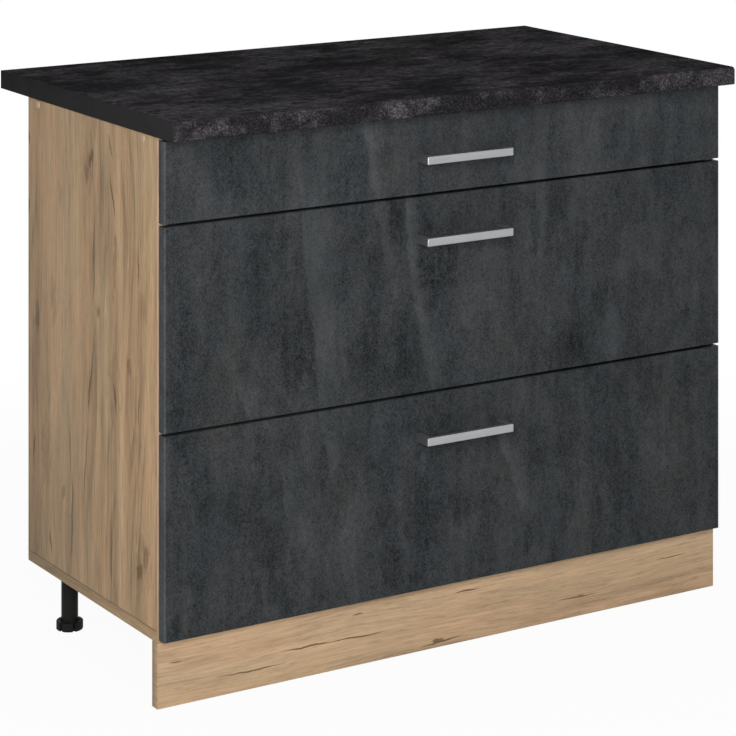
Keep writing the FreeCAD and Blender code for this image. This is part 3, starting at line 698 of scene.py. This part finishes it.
def easeEdges(piece, width, look=easeLook):
    # a CAD node comes as loose triangles: they are joined, then its sharp edges are eased
    for face in piece.data.polygons:
        face.use_smooth = True
    weld = piece.modifiers.new("join", "WELD")
    weld.merge_threshold = look["joinWithin"]
    bevel = piece.modifiers.new("ease", "BEVEL")
    bevel.width = width
    bevel.segments = look["segments"]
    bevel.limit_method = "ANGLE"
    bevel.angle_limit = math.radians(look["sharper"])
    bevel.harden_normals = True


for node, finish in nodeFinish.items():
    piece = nodes[node]
    piece.data.materials.clear()
    piece.data.materials.append(materials[finish])
    width = next(w for start, w in edgeWidths.items() if finish.startswith(start))
    if width:
        easeEdges(piece, width)
print("finishes on", len(nodeFinish), "nodes; without:", sorted(set(nodes) - set(nodeFinish)))


# tools for the small pieces
pieceLook = {"crease": 35, "mergeWithin": 0.000001}      # degrees, metres


def meshOf(bm, name):
    mesh = bpy.data.meshes.new(name)
    bm.to_mesh(mesh)
    bm.free()
    return mesh


def placedInScene(name, data):
    thing = bpy.data.objects.new(name, data)
    bpy.context.collection.objects.link(thing)
    return thing


def finishPiece(name, bm, body, material):
    # writes the mesh out as a piece that rides on a body
    bmesh.ops.recalc_face_normals(bm, faces=bm.faces)
    mesh = meshOf(bm, name)
    for face in mesh.polygons:
        face.use_smooth = True
    mesh.set_sharp_from_angle(angle=math.radians(pieceLook["crease"]))
    mesh.materials.append(materials[material])
    piece = placedInScene(name, mesh)
    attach(piece, body)
    return piece


def clean(bm):
    bmesh.ops.remove_doubles(bm, verts=bm.verts, dist=pieceLook["mergeWithin"])
    bmesh.ops.recalc_face_normals(bm, faces=bm.faces)


def spun(outline, steps):
    # closed solid turned from (radius, height) points, which start and end on the axis
    bm = bmesh.new()
    verts = [bm.verts.new((r, 0, h)) for r, h in outline]
    edges = [bm.edges.new(pair) for pair in zip(verts, verts[1:])]
    bmesh.ops.spin(bm, geom=verts + edges, cent=(0, 0, 0), axis=(0, 0, 1), angle=2 * math.pi,
                   steps=steps, use_merge=True, use_duplicate=False)
    clean(bm)
    return bm


def copied(template, places):
    # one mesh with the template, made along +Z, at each (point, direction)
    whole = bmesh.new()
    for point, direction in places:
        before = len(whole.verts)
        whole.from_mesh(template)
        whole.verts.ensure_lookup_table()
        facing = Vector((0, 0, 1)).rotation_difference(Vector(direction)).to_matrix().to_4x4()
        turn = Matrix.Translation(Vector(point)) @ facing
        bmesh.ops.transform(whole, matrix=turn, verts=whole.verts[before:])
    return whole


# screw heads with a cross recess, seated at z 0
screwLook = {"radius": 0.0034, "height": 0.0016, "steps": 24}
boltLook = {"radius": 0.0037, "height": 0.0023, "steps": 24}
crossLook = {
    "length": 1.25, "width": 0.22, "deep": 1.4, "level": 0.98,      # shares of the head
    "merge": 0.000003,                                              # metres
}
headSeat = 0.0002         # how far a head reaches into what it holds


def crossHead(look):
    r, h = look["radius"], look["height"]
    outline = ((0, h), (r * 0.45, h * 0.97), (r * 0.8, h * 0.72), (r, h * 0.25), (r, -headSeat),
               (0, -headSeat))
    head = placedInScene("head", meshOf(spun(outline, look["steps"]), "head"))
    cutter = bmesh.new()
    for turn in (0, math.pi / 2):
        made = bmesh.ops.create_cube(cutter, size=1.0)["verts"]
        size = (r * crossLook["length"], r * crossLook["width"], h * crossLook["deep"], 1)
        place = Matrix.Translation((0, 0, h * crossLook["level"])) @ Matrix.Rotation(turn, 4, "Z")
        bmesh.ops.transform(cutter, matrix=place @ Matrix.Diagonal(size), verts=made)
    cross = placedInScene("cross", meshOf(cutter, "cross"))
    cut = head.modifiers.new("cross", "BOOLEAN")
    cut.object = cross
    cut.operation = "DIFFERENCE"
    cut.use_self = True
    shown = head.evaluated_get(bpy.context.evaluated_depsgraph_get())
    result = bmesh.new()
    result.from_mesh(bpy.data.meshes.new_from_object(shown))
    bmesh.ops.remove_doubles(result, verts=result.verts, dist=crossLook["merge"])
    bmesh.ops.dissolve_degenerate(result, edges=result.edges, dist=crossLook["merge"])
    for thing in (head, cross):
        bpy.data.objects.remove(thing)
    return meshOf(result, "screw head")


screwHead = crossHead(screwLook)
boltHead = crossHead(boltLook)

# caps over the joint screws
capLook = {"radius": 0.0059, "height": 0.00098, "rim": 0.0004, "gap": 0.00002, "steps": 40}


def makeCaps(look=capLook):
    r, h, gap = look["radius"], look["height"], look["gap"]
    dome = ((0, h), (r * 0.5, h * 0.93), (r * 0.82, h * 0.70), (r, look["rim"]), (r, gap), (0, gap))
    places = []
    for rail in topRails:
        centre = middle(rail)
        places.append(((sideLeft[0][0], centre.y, centre.z), (-1, 0, 0)))
        places.append(((sideRight[1][0], centre.y, centre.z), (1, 0, 0)))
    one = meshOf(spun(dome, look["steps"]), "cap")
    caps = finishPiece("domed_screw_caps", copied(one, places), "carcass", "cap")
    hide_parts("screw_caps")


# joint screws seen from below: a flat head with a round socket
jointLook = {
    "radius": 0.0049, "head": 0.0025, "shank": 0.0028, "length": 0.049,
    "socket": 0.0022, "socketDepth": 0.0018, "ease": 0.0003,
    "along": (0.25, 0.75),        # shares of the side panel's depth
    "lift": 0.00005, "steps": 32,
}


def makeJointScrews(look=jointLook):
    r, k, s, head = look["radius"], look["shank"], look["socket"], look["head"]
    outline = ((0, -look["socketDepth"]), (s, -look["socketDepth"]), (s, 0), (r * 0.94, 0),
               (r, -look["ease"]), (r, -head), (k, -head - 0.001), (k, -look["length"]),
               (0, -look["length"] - 0.0005))
    one = meshOf(spun(outline, look["steps"]), "joint screw")
    halfBoard = (sideLeft[1][0] - sideLeft[0][0]) / 2
    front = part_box("carcass_edge_bands")[0][1]
    reach = sideLeft[1][1] - front
    under = bottomPanel[0][2] + look["lift"]
    places = [((x, front + reach * share, under), (0, 0, -1))
              for x in (sideLeft[0][0] + halfBoard, sideRight[1][0] - halfBoard)
              for share in look["along"]]
    finishPiece("socket_joint_screws", copied(one, places), "carcass", "screw")


# screws that hold the runners to the sides
runnerScrewLook = {"sheet": 0.0012, "rise": 0.0135, "along": (0.16, 0.52, 0.90)}


def makeRunnerScrews(look=runnerScrewLook):
    for name in drawers:
        places = []
        for side, face in (("left", 1), ("right", -1)):
            low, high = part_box(f"{name}_runner_{side}")
            web = (low[0] if face > 0 else high[0]) + face * look["sheet"]
            for share in look["along"]:
                y = low[1] + (high[1] - low[1]) * share
                places.append(((web, y, low[2] + look["rise"]), (face, 0, 0)))
        finishPiece(f"{name}_runner_screws", copied(screwHead, places), "carcass",
                    "screw")


# screws through the wall's front bracket into the front, and through the wall into the back board
drawerScrewLook = {
    "bracketInset": 0.0085, "bracketSheet": 0.0015, "bracketUp": (0.28, 0.72),
    "wallSheet": 0.0013,          # with the play between wall and base
    "backUp": (0.30, 0.75),
}


def makeDrawerScrews(look=drawerScrewLook):
    for name in drawers:
        places = []
        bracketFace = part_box(f"{name}_drawer_front")[1][1] + look["bracketSheet"]
        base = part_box(f"{name}_drawer_base")
        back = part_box(f"{name}_drawer_back")
        for side, face, edge in (("left", 1, base[0][0]), ("right", -1, base[1][0])):
            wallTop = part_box(f"{name}_drawer_wall_{side}")[1][2]
            x = edge + face * look["bracketInset"]
            for share in look["bracketUp"]:
                z = base[1][2] + (wallTop - base[1][2]) * share
                places.append(((x, bracketFace, z), (0, 1, 0)))
            x = edge - face * look["wallSheet"]
            y = (back[0][1] + back[1][1]) / 2
            for share in look["backUp"]:
                z = back[0][2] + (min(back[1][2], wallTop) - back[0][2]) * share
                places.append(((x, y, z), (-face, 0, 0)))
        finishPiece(f"{name}_drawer_screws", copied(screwHead, places), f"{name}_drawer",
                    "screw")


# heads of the handle bolts, on the back of the fronts
def makeHandleBolts():
    for name in drawers:
        z = middle(f"{name}_drawer_handle").z
        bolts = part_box(f"{name}_handle_bolts")
        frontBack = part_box(f"{name}_drawer_front")[1][1]
        radius = (bolts[1][2] - bolts[0][2]) / 2
        places = [((x, frontBack, z), (0, 1, 0))
                  for x in (bolts[0][0] + radius, bolts[1][0] - radius)]
        heads = finishPiece(f"{name}_handle_bolt_heads", copied(boltHead, places), f"{name}_drawer",
                            "screw")
        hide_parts(f"{name}_handle_bolts")


# screws of the leg sockets and the plinth clips
socketScrewLook = {"reach": 0.021, "plate": 0.0035}       # from the leg's axis, both ways
clipScrewLook = {"reach": 0.014, "plate": 0.003}


def makeSocketScrews(look=socketScrewLook):
    places = []
    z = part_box("leg_sockets")[1][2] - look["plate"]
    for corner in corners:
        centre = middle("foot_" + corner)
        for dx in (-look["reach"], look["reach"]):
            for dy in (-look["reach"], look["reach"]):
                places.append(((centre.x + dx, centre.y + dy, z), (0, 0, -1)))
    finishPiece("socket_screws", copied(screwHead, places), "carcass", "screw")


def makeClipScrews(look=clipScrewLook):
    z = middle("plinth_clips").z
    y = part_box("plinth")[1][1] + look["plate"]
    places = [((middle("foot_" + corner).x + dx, y, z), (0, 1, 0))
              for corner in corners[:2] for dx in (-look["reach"], look["reach"])]
    finishPiece("clip_screws", copied(screwHead, places), "carcass", "screw")


# nails round the back panel
nailLook = {"radius": 0.0022, "height": 0.0007, "steps": 16, "spacing": 0.115, "inset": 0.007}


def makeNails(look=nailLook):
    r, h, edge = look["radius"], look["height"], look["inset"]
    low, high = backPanel
    y = high[1]
    places = []
    across = round((high[0] - low[0]) / look["spacing"])
    for n in range(across + 1):
        x = low[0] + edge + (high[0] - low[0] - 2 * edge) * n / across
        places.append(((x, y, low[2] + edge), (0, 1, 0)))
        places.append(((x, y, high[2] - edge), (0, 1, 0)))
    up = round((high[2] - low[2]) / look["spacing"])
    for n in range(1, up):
        z = low[2] + (high[2] - low[2]) * n / up
        places.append(((low[0] + edge, y, z), (0, 1, 0)))
        places.append(((high[0] - edge, y, z), (0, 1, 0)))
    one = meshOf(spun(((0, h), (r * 0.8, h), (r, h * 0.4), (r, 0), (0, 0)), look["steps"]), "nail")
    finishPiece("back_panel_nails", copied(one, places), "carcass", "screw")


# rivet heads on the rollers' axles
rivetLook = {"radius": 0.0040, "height": 0.0008, "roller": 0.0056, "seat": 0.0001, "steps": 28}


def makeRivets(look=rivetLook):
    r, h = look["radius"], look["height"]
    outline = ((0, h), (r * 0.6, h * 0.9), (r, h * 0.3), (r, 0), (0, 0))
    one = meshOf(spun(outline, look["steps"]), "rivet")
    for name in drawers:
        # a runner's roller shows its axle towards the drawer, a drawer's roller towards the side
        for rollers, kind, body, facing, inset in (
                (f"{name}_runner_rollers", "runner", "carcass", 1, look["roller"] + look["seat"]),
                (f"{name}_drawer_rollers", "drawer", f"{name}_drawer", -1, -look["seat"])):
            low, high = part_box(rollers)
            y, z = (low[1] + high[1]) / 2, (low[2] + high[2]) / 2
            places = [((low[0] + inset, y, z), (facing, 0, 0)),
                      ((high[0] - inset, y, z), (-facing, 0, 0))]
            finishPiece(f"{name}_{kind}_rivets", copied(one, places), body, "screw")


# cups that hold the ends of the gallery rails
cupLook = {
    "radius": 0.0078, "length": 0.010, "wall": 0.0012, "rod": 0.0050, "floor": 0.0005, "steps": 36,
}


def makeRailCups(look=cupLook):
    r, w, length, rod, floor = [look[n] for n in ("radius", "wall", "length", "rod", "floor")]
    outline = ((0, 0), (r, 0), (r, length - w), (r - w, length), (rod, length), (rod, floor),
               (0, floor))
    one = meshOf(spun(outline, look["steps"]), "cup")
    for name in potDrawers:
        low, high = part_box(f"{name}_gallery_rails")
        z = (low[2] + high[2]) / 2
        places = []
        for x in (low[0] + rod, high[0] - rod):
            places.append(((x, low[1], z), (0, 1, 0)))
            places.append(((x, high[1], z), (0, -1, 0)))
        finishPiece(f"{name}_rail_cups", copied(one, places), f"{name}_drawer",
                    "plastic")


# feet with lugs, a well round the stem and a threaded spindle
footLook = {
    "rim": 0.0205, "well": 0.0148, "core": 0.0172, "floor": 0.0045, "height": 0.013,
    "easeBelow": 0.0006, "easeAbove": 0.0008, "lift": 0.0002,
    "lugs": 6, "slot": 0.0046, "turn": 0.42, "lugSteps": 10,      # turn in radians
    "thread": 0.0058, "pitch": 0.0025, "depth": 0.0006, "steps": 36,
}


def lug(bm, look, start, sweep):
    # a curved block of the rim, from the floor to the top
    rim, well, height = look["rim"], look["well"], look["height"]
    below, above = look["easeBelow"], look["easeAbove"]
    section = ((well, 0), (rim - below, 0), (rim, below), (rim, height - above),
               (rim - above, height), (well, height))
    verts = [bm.verts.new((r * math.cos(start), r * math.sin(start), h)) for r, h in section]
    firstEnd = bm.faces.new(verts)
    moving = bmesh.ops.duplicate(bm, geom=[firstEnd])["geom"]
    bmesh.ops.spin(bm, geom=moving, cent=(0, 0, 0), axis=(0, 0, 1), angle=sweep,
                   steps=look["lugSteps"], use_duplicate=False)


def makeFoot(corner, look=footLook):
    centre = middle("foot_" + corner)
    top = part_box("foot_" + corner)[1][2]
    bm = bmesh.new()
    turn = 2 * math.pi / look["lugs"]
    gap = look["slot"] / look["rim"]
    for n in range(look["lugs"]):
        lug(bm, look, look["turn"] + turn * n + gap / 2, turn - gap)
    clean(bm)
    t, d, p, floor, lift = [look[n] for n in ("thread", "depth", "pitch", "floor", "lift")]
    outline = [(0, lift), (look["core"], lift), (look["core"], floor), (t - d, floor)]
    level = floor + 0.001
    while level < top - p:
        outline += [(t - d, level), (t, level + p * 0.35), (t, level + p * 0.5),
                    (t - d, level + p * 0.85)]
        level += p
    outline += [(t - d, top - 0.001), (t - 2 * d, top), (0, top)]
    bm.from_mesh(meshOf(spun(outline, look["steps"]), "spindle"))
    bmesh.ops.translate(bm, vec=(centre.x, centre.y, 0), verts=bm.verts)
    foot = finishPiece(f"lugged_foot_{corner}", bm, "foot_" + corner, "plastic")
    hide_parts("foot_" + corner)


makeCaps()
makeJointScrews()
makeRunnerScrews()
makeDrawerScrews()
makeHandleBolts()
makeSocketScrews()
makeClipScrews()
makeNails()
makeRivets()
makeRailCups()
for corner in corners:
    makeFoot(corner)
print("small pieces")

# floor, world and lamps
studioLook = {
    "floorSize": 30.0,
    "floor": 0.80,                    # grey of the floor
    "lift": 0.95,                     # share of plain white that the camera sees near the object
    "fadeFrom": 0.8, "fadeTo": 1.8,   # metres from the middle where it turns to plain white
    "ambient": 0.30,                  # strength of the world on the object
}
lamps = (
    # name, place, target, size, power
    ("key", (-2.4, -3.8, 1.9), (0.0, -0.2, 0.42), 2.4, 165),
    ("top", (0.3, 0.2, 3.6), (0.0, 0.0, 0.8), 2.6, 22),
)


def seenDirectly(f):
    # 1 for what the camera sees, also in metal and through glass
    rays = [f.add("ShaderNodeLightPath", {}, {}, ray)
            for ray in ("Is Camera Ray", "Is Glossy Ray", "Is Transmission Ray")]
    return f.most(f.most(rays[0], rays[1]), rays[2])


def makeFloor(look=studioLook):
    bm = bmesh.new()
    bmesh.ops.create_grid(bm, x_segments=1, y_segments=1, size=look["floorSize"] / 2)
    floor = placedInScene("floor", meshOf(bm, "floor"))
    f = Finish("pale floor")
    far = f.add("ShaderNodeVectorMath", {"operation": "LENGTH"}, {0: f.place}, "Value")
    share = f.rise(far, look["fadeFrom"], look["fadeTo"]) * (1 - look["lift"]) + look["lift"]
    matt = f.add("ShaderNodeBsdfDiffuse", {}, {"Color": (look["floor"],) * 3 + (1,)})
    white = f.add("ShaderNodeEmission", {}, {"Color": (1, 1, 1, 1), "Strength": 1.0})
    both = f.add("ShaderNodeMixShader", {}, {0: seenDirectly(f) * share, 1: matt, 2: white})
    f.add("ShaderNodeOutputMaterial", {}, {"Surface": both})
    floor.data.materials.append(f.block)


def makeWorld(look=studioLook):
    f = Finish("studio", "worlds")
    sockets = {"Value": seenDirectly(f), "To Min": look["ambient"], "To Max": 1.0}
    strength = f.add("ShaderNodeMapRange", {}, sockets)
    light = f.add("ShaderNodeBackground", {}, {"Color": (1, 1, 1, 1), "Strength": strength})
    f.add("ShaderNodeOutputWorld", {}, {"Surface": light})
    bpy.context.scene.world = f.block


def makeLamps():
    for name, place, target, size, power in lamps:
        light = bpy.data.lights.new(name, "AREA")
        light.shape = "SQUARE"
        light.size = size
        light.energy = power
        lamp = placedInScene(name, light)
        lamp.location = place
        aim = Vector(target) - Vector(place)
        lamp.rotation_euler = aim.to_track_quat("-Z", "Y").to_euler()


# camera: solved from the photograph, which keeps its upright lines parallel
cameraLook = {
    "place": (-2.33682, -3.76695, 1.49647),
    "turn": 0.5548,           # radians from +Y towards +X
    "focal": 2807.3,          # pixels, for a level camera
    "horizon": -348.4,        # pixel row of eye level
    "picture": 736.0,
    "sensor": 36.0,
}


def makeCamera(look=cameraLook):
    # The picture plane is upright while the view leans down. An evenly scaled parent can't hold
    # that, so the rig has uneven scale; the camera itself has no shift.
    half = look["picture"] / 2
    lean = math.atan((half - look["horizon"]) / look["focal"])
    right = Vector((math.cos(look["turn"]), -math.sin(look["turn"]), 0))
    level = Vector((-math.sin(look["turn"]), -math.cos(look["turn"]), 0))
    up = Vector((0, 0, 1))
    back = math.cos(lean) * level + math.sin(lean) * up
    rigY = (up + back).normalized()
    rigZ = (back - up).normalized()
    spread = (math.pi / 2 - lean) / 2
    rig = placedInScene("camera_rig", None)
    turned = Matrix((right, rigY, rigZ)).transposed().to_4x4()
    scale = (1, math.sqrt(2) * math.cos(spread), math.sqrt(2) * math.sin(spread), 1)
    rig.matrix_world = Matrix.Translation(look["place"]) @ turned @ Matrix.Diagonal(scale)
    data = bpy.data.cameras.new("camera")
    data.sensor_width = look["sensor"]
    data.lens = look["sensor"] * look["focal"] / math.cos(lean) / look["picture"]
    camera = placedInScene("camera", data)
    camera.parent = rig
    camera.rotation_euler = (-math.pi / 4, 0, 0)
    bpy.context.scene.camera = camera


makeFloor()
makeWorld()
makeLamps()
makeCamera()
bpy.context.scene.view_settings.view_transform = "Standard"
print("stage, lamps and camera")
